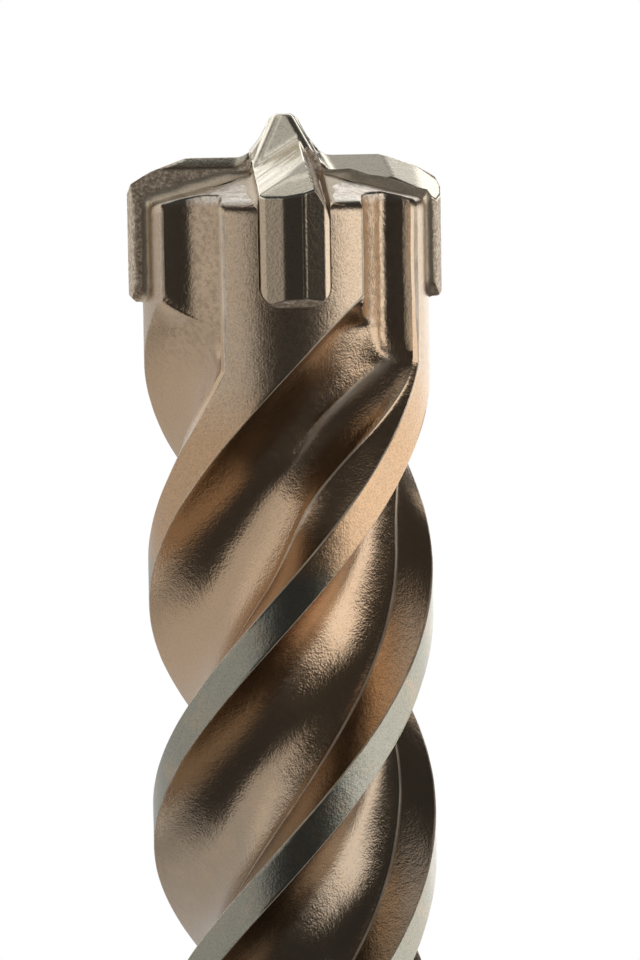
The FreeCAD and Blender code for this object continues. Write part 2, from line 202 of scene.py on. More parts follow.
def pocket_radius(angle, end, z):
    """Cut between two wings: a round floor between walls that are parallel to the wings' own middles.
    Below the head it withdraws outwards and leaves the flute alone."""
    near = np.radians(np.clip(angle, 8.0, 85.0))
    far = np.radians(np.clip(WING_STEP - WING_HALF_ANGLE - (end - angle), 0.0, 75.0))
    pocket = soft_max(WALL_OFFSET / np.sin(near), POCKET_FLOOR, POCKET_NEAR_CORNER)
    pocket = soft_max(pocket, WALL_OFFSET / np.cos(far), POCKET_FAR_CORNER)
    return pocket + POCKET_WITHDRAWS * below(POCKET_FOOT_Z, z, POCKET_FADES)


def steel_radius(angle, z):
    """Radius of the steel from a wing's leading edge round to the next wing's trailing edge. It is the
    lesser of pocket and flute up to the crest, then a straight back. The flute deepens below the head
    in two eased steps, and its crest carries a fine lip."""
    start, end = leading(z), WING_STEP + trailing(z)
    crest, drop = end - crest_width(z), crest_drop(z)
    deepening = 0.5 * below(LEADING_TURN_Z + 0.15, z, FLUTE_SINKS_FAST)
    deepening = deepening + 0.5 * below(LEADING_TURN_Z, z, FLUTE_SINKS_SLOW)
    share = np.clip((angle - start) / (crest - start), 0.0, 1.0)
    channel = (arc_drop(share) - CREST_DEPTH * share ** 6) * deepening + drop * share ** 6
    trail, before = pocket_trail(z)
    channel = channel + TRAIL_DEPTH * trail * hump(angle, crest - before, TRAIL_WIDTH)
    back = drop * (1 - np.clip((angle - crest) / (end - crest), 0.0, 1.0))
    flute = BODY_RADIUS - np.where(angle < crest, channel, back)
    both = soft_min(flute, pocket_radius(angle, end, z), FLUTE_MEETS_POCKET)
    radius = np.where(angle < crest, both, flute)
    lip = below(LIP_TOP_Z, z, 1.5) * (1 - 0.5 * below(CREST_CLOSE_Z, z, 4.0))
    radius = radius + LIP_HEIGHT * lip * hump(angle, crest - LIP_BEFORE, LIP_WIDTH)
    cut = BODY_RADIUS - np.minimum(radius, BODY_RADIUS)
    return BODY_RADIUS - cut * above(FLUTE_START_Z, z, RUNOUT)


def polar(radius, angle):
    """Points in plan at a radius and an angle in degrees."""
    turn = np.radians(angle)
    return np.stack(np.broadcast_arrays(radius * np.cos(turn), radius * np.sin(turn)), -1)


def turned(points, angle):
    """Points turned about the bit's axis: x' = x cos - y sin and y' = x sin + y cos. A third
    coordinate stays as it is."""
    c, s = np.cos(np.radians(angle)), np.sin(np.radians(angle))
    return np.concatenate([points[..., :2] @ np.array([[c, s], [-s, c]]), points[..., 2:]], -1)


def curve(before, corner, after, t):
    """Curve over a corner: it leaves one point towards the corner and reaches the other from it."""
    return (1 - t) ** 2 * before + 2 * t * (1 - t) * corner + t * t * after


def towards(corner, point, reach):
    """Point at a set distance from a corner on the line towards another point."""
    step = point - corner
    return corner + step * (reach / np.maximum(np.linalg.norm(step, axis=-1, keepdims=True), 1e-9))


def sector(z):
    """One quarter of each section, as points in plan: land, rounded edge, channel, crest, back and
    the rounded trailing edge of the next land."""
    z = z[:, None]
    start, end = leading(z), WING_STEP + trailing(z)
    crest = end - crest_width(z)
    edge = LAND_EDGE + (WING_EDGE - LAND_EDGE) * above(TRAILING_TURN_Z, z, 3.0)
    edge_angle = np.degrees(edge / BODY_RADIUS)
    over_corner = np.linspace(0, 1, CORNER_COLUMNS)[None, :, None]

    land_start, land_end = trailing(z) + edge_angle, start - edge_angle
    land = polar(BODY_RADIUS, land_start + (land_end - land_start) * np.linspace(0, 1, LAND_COLUMNS))
    lip = polar(BODY_RADIUS, start)
    lip_after = towards(lip, polar(steel_radius(start + 0.5, z), start + 0.5), edge[..., None])
    lead = curve(land[:, -1:], lip, lip_after, over_corner)

    first, last = start + 0.5 + 0.2 * edge_angle, end - 1.2 * edge_angle
    foot = crest - LIP_FINE_ANGLE
    spread = np.linspace(0, 1, CHANNEL_COLUMNS - LIP_COLUMNS + 1)[None, 1:]
    spread = spread ** (1.0 + 0.5 * below(TRAILING_TURN_Z, z, 6.0))
    lip_angles = foot + (crest - foot) * np.linspace(0, 1, LIP_COLUMNS + 1)[None, 1:]
    back_angles = crest + (last - crest) * np.linspace(0, 1, BACK_COLUMNS + 1)[None, 1:] ** 1.4
    angles = np.concatenate([first + (foot - first) * spread, lip_angles, back_angles], 1)
    flute = polar(steel_radius(angles, z), angles)

    heel = polar(BODY_RADIUS, end)
    heel_before = towards(heel, polar(steel_radius(end - 0.5, z), end - 0.5), edge[..., None])
    tail = curve(heel_before, heel, polar(BODY_RADIUS, end + edge_angle), over_corner)
    return np.concatenate([land, lead[:, 1:], flute, tail[:, :-1]], 1)


def wear_and_painted_highlight(quarter, z):
    """Share of each point of a quarter that is tinted pale: both edges of the land, as rubbed wear with
    painted highlight on it, and a painted highlight along the crest and the trail of the pocket's
    corner, each only over the heights where it stands out."""
    share = np.zeros(quarter.shape[:2])
    share[:, LAND_COLUMNS:LAND_COLUMNS + CORNER_COLUMNS - 2] = 1.0
    share[:, 1 - CORNER_COLUMNS:] = 1.0
    crest = below(LIP_TOP_Z, z, 1.0) * above(FLUTE_START_Z + 3.0, z, RUNOUT)
    share[:, CREST_COLUMN - 1:CREST_COLUMN + 2] = crest[:, None] * np.array([0.4, 1.0, 0.5])
    trail, before = pocket_trail(z)
    middle = WING_STEP + trailing(z) - crest_width(z) - before + 1.5
    off_trail = np.degrees(np.arctan2(quarter[..., 1], quarter[..., 0])) - middle[:, None]
    off_trail = (off_trail + 180) % 360 - 180
    return np.maximum(share, 0.9 * trail[:, None] * hump(off_trail, 0.0, 2.6))


def steps(start, *stretches):
    """Heights from the first level up: each stretch is the level it reaches and its spacing."""
    levels = [np.array([start])]
    for top, pitch in stretches:
        low = levels[-1][-1]
        levels.append(np.linspace(low, top, int(np.ceil((top - low) / pitch)) + 1)[1:])
    return np.concatenate(levels)


def put_mesh(name, points, faces, smooth_angle=None):
    """Mesh object at the origin, from points in millimetres."""
    mesh = bpy.data.meshes.new(name)
    mesh.from_pydata((points * MM).tolist(), [], faces)
    mesh.validate()
    mesh.shade_smooth()
    if smooth_angle:
        mesh.set_sharp_from_angle(angle=np.radians(smooth_angle))
    piece = bpy.data.objects.new(name, mesh)
    bpy.context.scene.collection.objects.link(piece)
    return piece


def put_attribute(piece, name, values):
    """A number for each point of a piece, which its material reads by name."""
    attribute = piece.data.attributes.new(name, "FLOAT", "POINT")
    attribute.data.foreach_set("value", values.astype(np.float32).reshape(-1))


def grid_faces(index):
    """Quads between neighbouring points of a grid of point numbers."""
    quads = np.stack([index[:-1, :-1], index[:-1, 1:], index[1:, 1:], index[1:, :-1]], -1)
    return quads.reshape(-1, 4)


def raised(plan, z):
    """Points in plan at one height for each row."""
    return np.concatenate([plan, np.broadcast_to(z[:, None, None], (*plan.shape[:2], 1))], 2)


fluted_z = steps(FLUTE_START_Z, (110.0, 0.8), (143.0, 0.26), (LEADING_TURN_Z + 0.5, 0.15))
quarter = sector(fluted_z)
quarter_wear_and_highlight = wear_and_painted_highlight(quarter, fluted_z)
quarter_land = np.concatenate([
    np.ones(LAND_COLUMNS), np.linspace(1, 0, CORNER_COLUMNS)[1:],
    np.zeros(CHANNEL_COLUMNS + BACK_COLUMNS), np.linspace(0, 1, CORNER_COLUMNS)[:-1]])
land_marks = np.tile(quarter_land, WINGS)
plan = np.concatenate([turned(quarter, turn) for turn in WING_TURNS], 1)
columns = plan.shape[1]
growth = above(FLUTE_START_Z, fluted_z, 8.0)
plan *= ((NECK_RADIUS + (BODY_RADIUS - NECK_RADIUS) * growth) / BODY_RADIUS)[:, None, None]
fluted = raised(plan, fluted_z)

# head: the last section carried up to the sloping ledge, over its edge and in to the axis; the edge
# is broken further on the wings' faces than on the pockets' walls
head_plan = plan[-1]
reach = np.linalg.norm(head_plan, axis=1)
on_wing = above(6.6, reach, 0.5)
down, inward = 0.12 + 0.4 * on_wing, 0.1 + 0.2 * on_wing


def ledge_height(reach):
    """Height of the ledge at a distance from the axis: a cone that rises inwards."""
    return LEDGE_Z + (LEDGE_RADIUS - reach) * LEDGE_RISE


def on_ledge(scale):
    """Points of the ledge at a share of the outline's reach."""
    flat = head_plan * scale[..., None]
    return np.concatenate([flat, ledge_height(reach * scale)[..., None]], -1)


edge_z = ledge_height(reach)
lift = np.linspace(0, 1, WALL_ROWS + 1)[1:, None]
wall_z = fluted_z[-1] + (edge_z - down - fluted_z[-1]) * lift
wall = np.concatenate([np.broadcast_to(head_plan, (WALL_ROWS, columns, 2)), wall_z[..., None]], 2)
ledge_share = 1 - inward / reach
t = np.linspace(0, 1, OVER_ROWS + 1)[1:, None, None]
over = curve(wall[-1], np.concatenate([head_plan, edge_z[:, None]], 1), on_ledge(ledge_share), t)
top = on_ledge(ledge_share[None, :] * np.linspace(1, 0, TOP_ROWS + 2)[1:-1, None])

# shank: a plain round bar with two open slots and two closed grooves
SLOT_HALF, SLOT_DEPTH, SLOT_LENGTH = 1.55, 1.9, 30.0
GROOVE_RADIUS, GROOVE_DEPTH, GROOVE_LOW, GROOVE_HIGH = 2.6, 1.65, 8.4, 27.4
END_CHAMFER = 0.5
SLIT = 1e-3
FLOOR_COLUMNS, SIDE_COLUMNS, GROOVE_COLUMNS = 8, 8, 16
shank_z = steps(
    0.0, (END_CHAMFER, 0.5), (8.0, 2.5), (12.0, 0.25), (25.0, 2.0), (30.2, 0.2), (SHANK_LENGTH, 5.0))
half_columns = columns // (2 * WINGS)


def half_round(lip, count):
    """The plain round of the shank from a lip to the middle between slot and groove."""
    turn = lip + (np.pi / 4 - lip) * np.linspace(0, 1, count + 1)[None, 1:]
    return SHANK_RADIUS * np.stack([np.cos(turn), np.sin(turn)], -1)


def slotted(z):
    """Half a slot from its middle outwards: level floor, upright side and round. The upper end of the
    slot is half a circle, so its width there is the circle's chord, and above it the slot is shut."""
    over_end = np.clip(z - (SLOT_LENGTH - SLOT_HALF), 0, SLOT_HALF)
    width = np.sqrt(np.clip(SLOT_HALF ** 2 - over_end ** 2, SLIT ** 2, None))
    width = np.where(z < SLOT_LENGTH, width, SLIT)[:, None]
    floor = np.where(z < SLOT_LENGTH, SHANK_RADIUS - SLOT_DEPTH, SHANK_RADIUS)[:, None]
    lip = np.arcsin(width / SHANK_RADIUS)
    y = width * np.linspace(0, 1, FLOOR_COLUMNS)[None, :]
    flat = np.stack([np.minimum(floor + 0 * y, np.sqrt(SHANK_RADIUS ** 2 - y ** 2)), y], -1)
    rise = np.linspace(0, 1, SIDE_COLUMNS + 1)[None, 1:]
    x = flat[:, -1:, 0] + (SHANK_RADIUS * np.cos(lip) - flat[:, -1:, 0]) * rise
    side = np.stack(np.broadcast_arrays(x, width), -1)
    rest = half_columns - FLOOR_COLUMNS - SIDE_COLUMNS
    return np.concatenate([flat, side, half_round(lip, rest)], 1)


def grooved(z):
    """Half a ball groove from its middle outwards: a circle whose centre lies outside the shank, cut
    by a ball at either end, then the round."""
    centre = SHANK_RADIUS - GROOVE_DEPTH + GROOVE_RADIUS
    past = np.maximum(GROOVE_LOW + GROOVE_RADIUS - z, z - GROOVE_HIGH + GROOVE_RADIUS)
    radius = np.sqrt(np.clip(GROOVE_RADIUS ** 2 - np.clip(past, 0, GROOVE_RADIUS) ** 2, 0, None))
    cos_lip = (SHANK_RADIUS ** 2 + centre ** 2 - radius ** 2) / (2 * SHANK_RADIUS * centre)
    lip = np.arccos(np.clip(cos_lip, -1, 1 - 1e-7))[:, None]
    turn = lip * np.linspace(0, 1, GROOVE_COLUMNS)[None, :]
    root = np.clip(radius[:, None] ** 2 - (centre * np.sin(turn)) ** 2, 0, None)
    near = np.where(cos_lip[:, None] < 1, centre * np.cos(turn) - np.sqrt(root), SHANK_RADIUS)
    groove = np.minimum(near, SHANK_RADIUS)[..., None] * np.stack([np.cos(turn), np.sin(turn)], -1)
    return np.concatenate([groove, half_round(lip, half_columns - GROOVE_COLUMNS)], 1)


def column_angles(row):
    """Angle of each column about the axis, counted on without a jump."""
    return np.unwrap(np.arctan2(row[:, 1], row[:, 0]))


shank_parts = []
for wing in range(WINGS):
    half = (grooved if wing % 2 else slotted)(shank_z)
    both = np.concatenate([half[:, ::-1] * np.array([1, -1]), half], 1)
    both[:, half_columns - 1, 1] -= SLIT
    shank_parts.append(turned(both, WING_STEP * wing))
shank_plan = np.concatenate(shank_parts, 1)
shank_plan[0] *= 1 - END_CHAMFER / SHANK_RADIUS

# neck: the columns of the shank turn by degrees to where those of the flutes begin
neck_z = steps(SHANK_LENGTH, (SHANK_LENGTH + NECK_CONE, 0.8), (FLUTE_START_Z - 0.2, 0.5))[1:]
start_angles = column_angles(fluted[0])
offset = start_angles[0] - column_angles(shank_plan[-1])[0]
quarters = int(round(offset / (np.pi / 2)))
shank_plan = np.roll(shank_plan, -(quarters * columns // WINGS) % columns, axis=1)
shank_angles = column_angles(shank_plan[-1])
shank_angles += 2 * np.pi * round((start_angles[0] - shank_angles[0]) / (2 * np.pi))
cone_share = np.clip((neck_z - SHANK_LENGTH) / NECK_CONE, 0, 1)
neck_radius = SHANK_RADIUS + (NECK_RADIUS - SHANK_RADIUS) * cone_share
blend = above(SHANK_LENGTH, neck_z, FLUTE_START_Z - SHANK_LENGTH)[:, None]
neck_angles = shank_angles[None, :] * (1 - blend) + start_angles[None, :] * blend
neck = raised(polar(neck_radius[:, None], np.degrees(neck_angles)), neck_z)

body_rows = np.concatenate([raised(shank_plan, shank_z), neck, fluted, wall, over, top], 0)
rows = len(body_rows)
fluted_row = len(shank_z) + len(neck_z)
wall_row = fluted_row + len(fluted_z)
over_row = wall_row + WALL_ROWS

# milling and blasting left the surface a little uneven, but nowhere past the body's own radius
FLUTE_SWELL, FLUTE_RIPPLE, LAND_RIPPLE = 0.025, 0.006, 0.006
along = body_rows[..., 2]
height_share = above(FLUTE_START_Z, along, 10.0) * below(LEDGE_Z - 1.0, along, 1.0)
in_flute = (1 - land_marks) * height_share
swell = FLUTE_SWELL * waves(body_rows, 5.0, 11) + FLUTE_RIPPLE * waves(body_rows, 1.7, 12)
ripple = (1 - in_flute) * height_share * LAND_RIPPLE * waves(body_rows, 1.2, 13)
from_axis = np.maximum(np.hypot(body_rows[..., 0], body_rows[..., 1]), 1)
outward_share = 1 + (swell * in_flute + ripple) / from_axis
body_rows[..., :2] *= np.minimum(outward_share, 1 + 0.2 * in_flute)[..., None]

index = np.arange(rows * columns).reshape(rows, columns)
foot_pole, top_pole = rows * columns, rows * columns + 1
loop = np.arange(columns)
foot_fan = np.stack([np.full(columns, foot_pole), np.roll(loop, -1), loop], -1)
top_fan = np.stack([np.full(columns, top_pole), index[-1], np.roll(index[-1], -1)], -1)
poles = [[0, 0, 0], [0, 0, body_rows[-1, 0, 2] + 0.1]]
quads = grid_faces(np.concatenate([index, index[:, :1]], 1))
body = put_mesh(
    "drill_body_steel", np.concatenate([body_rows.reshape(-1, 3), poles]),
    quads.tolist() + foot_fan.tolist() + top_fan.tolist(), smooth_angle=50)
land_share, wear_and_highlight_share = np.ones((rows, columns)), np.zeros((rows, columns))
land_share[fluted_row:over_row] = land_marks
# share of pale tint: rubbed wear with painted highlight on the land's edges, and painted highlight on
# the crest and the pocket's trail
wear_and_highlight_share[fluted_row:wall_row] = np.tile(quarter_wear_and_highlight, (1, WINGS))
wear_and_highlight_share[wall_row:over_row] = wear_and_highlight_share[wall_row - 1]
put_attribute(body, "land", np.append(land_share, [1.0, 1.0]))
put_attribute(body, "edge", np.append(wear_and_highlight_share, [0.0, 0.0]))
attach(body, "root")
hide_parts("drill_body")


class Wire:
    """A shader value. Sums, differences and products of wires and numbers add their Math nodes."""

    def __init__(self, maker, socket):
        self.maker, self.socket = maker, socket

    def math(self, operation, *others):
        """One Math node on this wire and the others."""
        inputs = dict(enumerate((self, *others)))
        return self.maker.add("ShaderNodeMath", {"operation": operation}, inputs)

    def __add__(self, other):
        return self.math("ADD", other)

    __radd__ = __add__

    def __mul__(self, other):
        return self.math("MULTIPLY", other)

    __rmul__ = __mul__

    def __sub__(self, other):
        return self.math("SUBTRACT", other)

    def __rsub__(self, other):
        return (self * -1.0) + other

    def band(self, low, high):
        """0 at one level, 1 at the other, eased between; the levels may fall."""
        return self.maker.add("ShaderNodeMapRange", {"interpolation_type": "SMOOTHSTEP"}, {
            "Value": self, "From Min": low, "From Max": high})


class Finish:
    """Node tree of one material or of the world."""

    def __init__(self, tree):
        self.tree = tree
        tree.nodes.clear()

    def add(self, kind, settings=None, inputs=None, output=0):
        """One node: its settings first, then the values or wires of its sockets."""
        node = self.tree.nodes.new(kind)
        for name, value in (settings or {}).items():
            setattr(node, name, value)
        for name, value in (inputs or {}).items():
            if isinstance(value, Wire):
                self.tree.links.new(value.socket, node.inputs[name])
            else:
                node.inputs[name].default_value = value
        return Wire(self, node.outputs[output]) if len(node.outputs) else None

    def place(self):
        """Position on the object."""
        return self.add("ShaderNodeTexCoord", output=3)

    def attribute(self, name):
        """A number that the mesh holds for each point."""
        return self.add("ShaderNodeAttribute", {"attribute_name": name}, {}, 2)

    def mix(self, share, one, other):
        """Colour between two colours."""
        return self.add("ShaderNodeMix", {"data_type": "RGBA"}, {0: share, 6: one, 7: other}, 2)

    def stretched(self, place, scale):
        """Coordinates with each axis scaled, so that a pattern on them is drawn out."""
        return self.add("ShaderNodeMapping", {}, {"Vector": place, "Scale": scale})

    def length(self, place):
        """Distance from the origin, in millimetres."""
        return self.add("ShaderNodeVectorMath", {"operation": "LENGTH"}, {0: place}, 1) * (1 / MM)

    def noise(self, place, size, detail=2.0, rough=0.5):
        """Noise of about one feature size, given in millimetres."""
        return self.add("ShaderNodeTexNoise", {}, {
            "Vector": place, "Scale": 1.0 / (size * MM), "Detail": detail, "Roughness": rough})

    def metal(self, colour, roughness, relief, strength, depth):
        """Bare metal with a fine relief, whose depth is in millimetres."""
        normal = self.add("ShaderNodeBump", {}, {
            "Strength": strength, "Distance": depth * MM, "Height": relief})
        shader = self.add("ShaderNodeBsdfPrincipled", {}, {
            "Base Color": colour, "Metallic": 1.0, "Roughness": roughness, "Normal": normal})
        self.add("ShaderNodeOutputMaterial", {}, {0: shader})


def new_material(name):
    """A material and the maker of its nodes."""
    material = bpy.data.materials.new(name)
    material.use_nodes = True
    return material, Finish(material.node_tree)


TAN = (0.60, 0.462, 0.330, 1)
BRONZE = (0.57, 0.405, 0.265, 1)
ORANGE = (0.61, 0.400, 0.238, 1)
GREY = (0.355, 0.345, 0.285, 1)
BLACKENED = (0.40, 0.325, 0.245, 1)
BARE_STEEL = (0.50, 0.485, 0.44, 1)
PAINTED_LEDGE_SHEEN = (0.84, 0.80, 0.71, 1)
WORN_EDGE_AND_HIGHLIGHT = (0.95, 0.84, 0.70, 1)
POCKET_PAINTED_SHADE = (0.34, 0.25, 0.17, 1)
GRAIN_SHADE = (0.22, 0.15, 0.10, 1)
SPECK = (0.15, 0.13, 0.10, 1)
FLUTE_BRONZE_Z, FLUTE_BLACKENED_Z = (152.0, 147.0), (131.0, 124.0)
LAND_ORANGE_Z, LAND_GREY_Z, LAND_BARE_Z = (148.5, 143.5), (138.3, 136.3), (66.0, 60.0)
PAINTED_LEDGE_SHEEN_Z, POCKET_SHADE_Z, POCKET_SHADE_REACH = (155.5, 155.9), (146.0, 150.0), (6.9, 5.9)

steel, make = new_material("blasted_steel")
place = make.place()
height = make.add("ShaderNodeSeparateXYZ", {}, {0: place}, 2) * (1 / MM)
wander = height + (make.noise(place, 4.0, 3.0) - 0.5) * 5.0
patch = make.noise(place, 1.6, 4.0, 0.6)
coarse = make.noise(place, 0.34, 2.0, 0.5)
grain = make.noise(place, 0.11, 2.0, 0.6)
speck = make.noise(place, 0.10, 3.0, 0.7)
scratch = make.noise(make.stretched(place, (1.0, 1.0, 0.12)), 0.09, 2.0, 0.5)
land = make.attribute("land")
edge = make.attribute("edge")
on_fluted_land = land * height.band(66.0, 70.0)
# painted shade: a mask for the deep parts of the pockets between the wings, near the head
pocket_painted_shade = make.length(make.stretched(place, (1, 1, 0))).band(*POCKET_SHADE_REACH) * height.band(*POCKET_SHADE_Z)

flute_tint = make.mix(wander.band(*FLUTE_BRONZE_Z), TAN, BRONZE)
flute_tint = make.mix(wander.band(*FLUTE_BLACKENED_Z) * 0.8, flute_tint, BLACKENED)
land_tint = make.mix(wander.band(*LAND_ORANGE_Z), TAN, ORANGE)
land_tint = make.mix(wander.band(*LAND_GREY_Z), land_tint, GREY)
land_tint = make.mix(height.band(*LAND_BARE_Z), land_tint, BARE_STEEL)
tint = make.mix(land, flute_tint, land_tint)
# painted sheen: the top of the steel round the carbide is tinted near white, as where it catches the
# light
tint = make.mix(height.band(*PAINTED_LEDGE_SHEEN_Z) * 0.8, tint, PAINTED_LEDGE_SHEEN)
tint = make.mix(patch.band(0.46, 0.70) * 0.35, tint, BRONZE)
# painted shade in the pockets, mottled by coarse noise
tint = make.mix(pocket_painted_shade * (0.25 + coarse.band(0.4, 0.7) * 0.5), tint, POCKET_PAINTED_SHADE)
tint = make.mix(grain.band(0.50, 0.34) * 0.16, tint, GRAIN_SHADE)
# painted highlight: the edge attribute lightens the land's edges (partly real wear), the crest and the
# trail of the pocket's corner
tint = make.mix(edge * (0.5 + patch.band(0.35, 0.6) * 0.45), tint, WORN_EDGE_AND_HIGHLIGHT)
tint = make.mix(on_fluted_land * speck.band(0.55, 0.36) * 0.3, tint, SPECK)
relief = (grain * 0.55 + coarse * 0.45) * (1.0 - land * 0.35) + scratch * land * 0.12
roughness = 0.12 + coarse * 0.10 + grain * 0.04 + edge * 0.48 + on_fluted_land * 0.05
make.metal(tint, roughness, relief, 0.5, 0.06)
body.data.materials.append(steel)

# Carbide head: four cutters crossing under a point, pressed and sintered from tungsten carbide in one
# piece, then ground on the flanks and on the ends. The pressed sides keep a coarse speckled skin.

CUTTER_HALF = 1.725
CUTTER_FOOT = RIDGE_Z - 7.35
FOOT_RADIUS = 1.0
FOOT_CHAMFER = 0.37
HEAD_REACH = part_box("carbide_head")[1].x / MM
ARM_LENGTH = 6.2
POINT_HALF = 0.5
POINT_STEEP = np.tan(np.radians(63.0))
RIDGE_OFFSET = 1.0
RAKE_SHIFT = 0.42
MAIN_RISE = 1.2 / 4.95
PLATEAU, SHOULDER_REACH = 4.95, 6.85
FLANK, RAKE, SHOULDER, RIM = np.tan(np.radians([25.0, 61.0, 24.0, 36.0]))
MAIN_CLEARANCE, SIDE_CLEARANCE = np.tan(np.radians([12.0, 22.0]))
LEADING_FACET, MIDDLE_FACET, TRAILING_FACET = np.tan(np.radians([9.0, 4.0, 16.2]))
LEADING_FACET_AT, MIDDLE_FACET_AT, TRAILING_FACET_AT = 0.55, 0.35, -0.5
TRAILING_FACET_BACK = 0.06
RIB_ACROSS, RIB_HEIGHT, RIB_WIDTH = 0.45, 0.03, 0.07
GRIND_SLANT, GRIND_AT, GRIND_DEPTH, GRIND_WIDTH = 0.74, 3.5, 0.035, 0.16
SCORE_DEPTH, SCORE_RATE = 0.008, 5.0
LEAN_WIDTH, LEAN_CURVE = 0.3, 4.5
AXIS_FALL = 3.0
POINT_FRONT, POINT_ROUND, TIP_ROUND = 0.66, 0.5, 0.22
FILLET_MAIN, FILLET_SIDE = 0.35, 1.4
EDGE_ROUND, TOP_ROUND = 0.26, 0.06
EDGE_SHARES = np.array([0, 0.1, 0.28, 0.55, 1.0])
TINY = 1e-6


def end_reach(across):
    """Plan of a cutter's end: the least of its margin and three facets, with a fine rib on the
    margin and rounded corners."""
    reach = HEAD_REACH - RIB_HEIGHT - 0.012
    leading_facet = reach - (across - LEADING_FACET_AT) * LEADING_FACET
    middle_facet = reach - (MIDDLE_FACET_AT - across) * MIDDLE_FACET
    trailing_facet = reach - TRAILING_FACET_BACK - (TRAILING_FACET_AT - across) * TRAILING_FACET
    plan = soft_min(soft_min(reach + 0 * across, leading_facet, 0.02), middle_facet, 0.02)
    plan = soft_min(plan, trailing_facet, 0.03) + RIB_HEIGHT * hump(across, RIB_ACROSS, RIB_WIDTH)
    depth = np.clip(EDGE_ROUND - (CUTTER_HALF - np.abs(across)), 0, EDGE_ROUND)
    return plan - (EDGE_ROUND - np.sqrt(EDGE_ROUND ** 2 - depth ** 2))


def arm_top(out, across, main):
    """Ground top of one cutter: the least of flank, rake, shoulder and rim planes, with the marks of
    the grinding wheel on the main cutters and a leaning leading edge. It falls away steeply past the
    axis, so that the arms meet under the point."""
    rise, clearance = (MAIN_RISE, MAIN_CLEARANCE) if main else (0.0, SIDE_CLEARANCE)
    side = across - RIDGE_OFFSET
    ridge = RIDGE_Z - rise * (out - PLATEAU)
    grind = out + GRIND_SLANT * across
    mark = GRIND_DEPTH * hump(grind, GRIND_AT, GRIND_WIDTH) + SCORE_DEPTH * np.sin(grind * SCORE_RATE)
    mark = mark * below(0.7, across, 0.5) * below(6.6, out, 1.0) if main else 0.0
    top = soft_min(ridge + FLANK * side - mark, ridge - RAKE * (side + RAKE_SHIFT), 0.12)
    top = soft_min(top, RIDGE_Z - SHOULDER * (out - PLATEAU) + clearance * side, 0.10)
    fall = (SHOULDER_REACH - PLATEAU) * SHOULDER
    top = soft_min(top, RIDGE_Z - fall - RIM * (out - SHOULDER_REACH) + clearance * side, 0.10)
    lean = np.clip(across - (CUTTER_HALF - LEAN_WIDTH), 0, None)
    return top + AXIS_FALL * np.minimum(out, 0) - LEAN_CURVE * lean * lean


def head_top(x, y):
    """Top of the carbide over its plan: the highest arm, with the tapered point filleted onto it. The
    fillet is wide along the side cutters and tight along the main ones."""
    top = np.full(x.shape, RIDGE_Z - 6.0)
    for wing, angle in enumerate(WING_TURNS):
        turn = np.radians(angle)
        out = x * np.cos(turn) + y * np.sin(turn)
        across = y * np.cos(turn) - x * np.sin(turn)
        inside = (np.abs(across) < CUTTER_HALF + TINY) & (out > -CUTTER_HALF - TINY)
        top = np.where(inside, np.maximum(top, arm_top(out, across, wing % 2 == 0)), top)
    spread = soft_max(np.abs(x), POINT_HALF + (np.abs(y) - POINT_HALF) * POINT_FRONT, POINT_ROUND)
    point = OVERALL - (spread - POINT_HALF) * POINT_STEEP
    fillet = FILLET_MAIN + FILLET_SIDE * above(0.2, np.abs(x) - 0.75 * np.abs(y), 0.6)
    return soft_min(soft_max(top, point, fillet), OVERALL - 0.001 + 0 * x, TIP_ROUND)


def head_foot(x, y, out):
    """Underside: the U section of the arms, with a chamfer on their outer ends."""
    lowest = np.full(x.shape, OVERALL)
    for across in (x, y):
        past = np.clip(np.abs(across) - (CUTTER_HALF - FOOT_RADIUS), 0, FOOT_RADIUS)
        bottom = CUTTER_FOOT + FOOT_RADIUS - np.sqrt(FOOT_RADIUS ** 2 - past ** 2)
        inside = np.abs(across) < CUTTER_HALF + TINY
        lowest = np.where(inside, np.minimum(lowest, bottom), lowest)
    return np.maximum(lowest, CUTTER_FOOT + FOOT_CHAMFER + out - HEAD_REACH)


def with_z(x, y, z):
    """Points from their three coordinates."""
    return np.stack(np.broadcast_arrays(x, y, z), -1)


near_edge = EDGE_SHARES * EDGE_ROUND / (2 * CUTTER_HALF)
inner = np.linspace(near_edge[-1], 1 - near_edge[-1], 46)
across = np.concatenate([near_edge[:-1], inner, (1 - near_edge[:-1])[::-1]])
across = (across * 2 - 1) * CUTTER_HALF
near_end = EDGE_SHARES[::-1] * EDGE_ROUND / ARM_LENGTH
outs = np.concatenate([np.linspace(0, 1, 92)[:-1] * (1 - near_end[0]), 1 - near_end])
levels = np.linspace(0, 1, 40)[:, None]
end = end_reach(across)[None, :]
grids = []
for wing, angle in enumerate(WING_TURNS):
    main = wing % 2 == 0
    out = CUTTER_HALF + (end - CUTTER_HALF) * outs[:, None]
    side = np.broadcast_to(across[None, :], out.shape)
    arm = turned(np.stack([out, side], -1), angle)
    x, y = arm[..., 0], arm[..., 1]
    gap = np.minimum(CUTTER_HALF - np.abs(side), end - out)
    depth = np.clip(TOP_ROUND - gap, 0, TOP_ROUND)
    top_z = head_top(x, y) - (TOP_ROUND - np.sqrt(TOP_ROUND ** 2 - depth ** 2))
    foot_z = head_foot(x, y, out)
    grids.append((with_z(x, y, top_z), below(1.1, side, 0.3) * (1.0 if main else 0.75)))
    grids.append((with_z(x, y, foot_z)[::-1], 0.0))
    for column, order in ((0, 1), (-1, -1)):
        low, high = foot_z[:, column], top_z[:, column]
        upright = with_z(x[None, :, column], y[None, :, column], low + (high - low) * levels)
        grids.append((upright[::-order], 0.0))
    end_face = with_z(x[-1], y[-1], foot_z[-1] + (top_z[-1] - foot_z[-1]) * levels)
    grids.append((end_face[::-1], 0.45 if main else 0.12))
x, y = np.meshgrid(across, across, indexing="ij")
grids.append((with_z(x, y, head_top(x, y)), 1.0))
grids.append((with_z(x, y, head_foot(x, y, 0 * x))[::-1], 0.0))

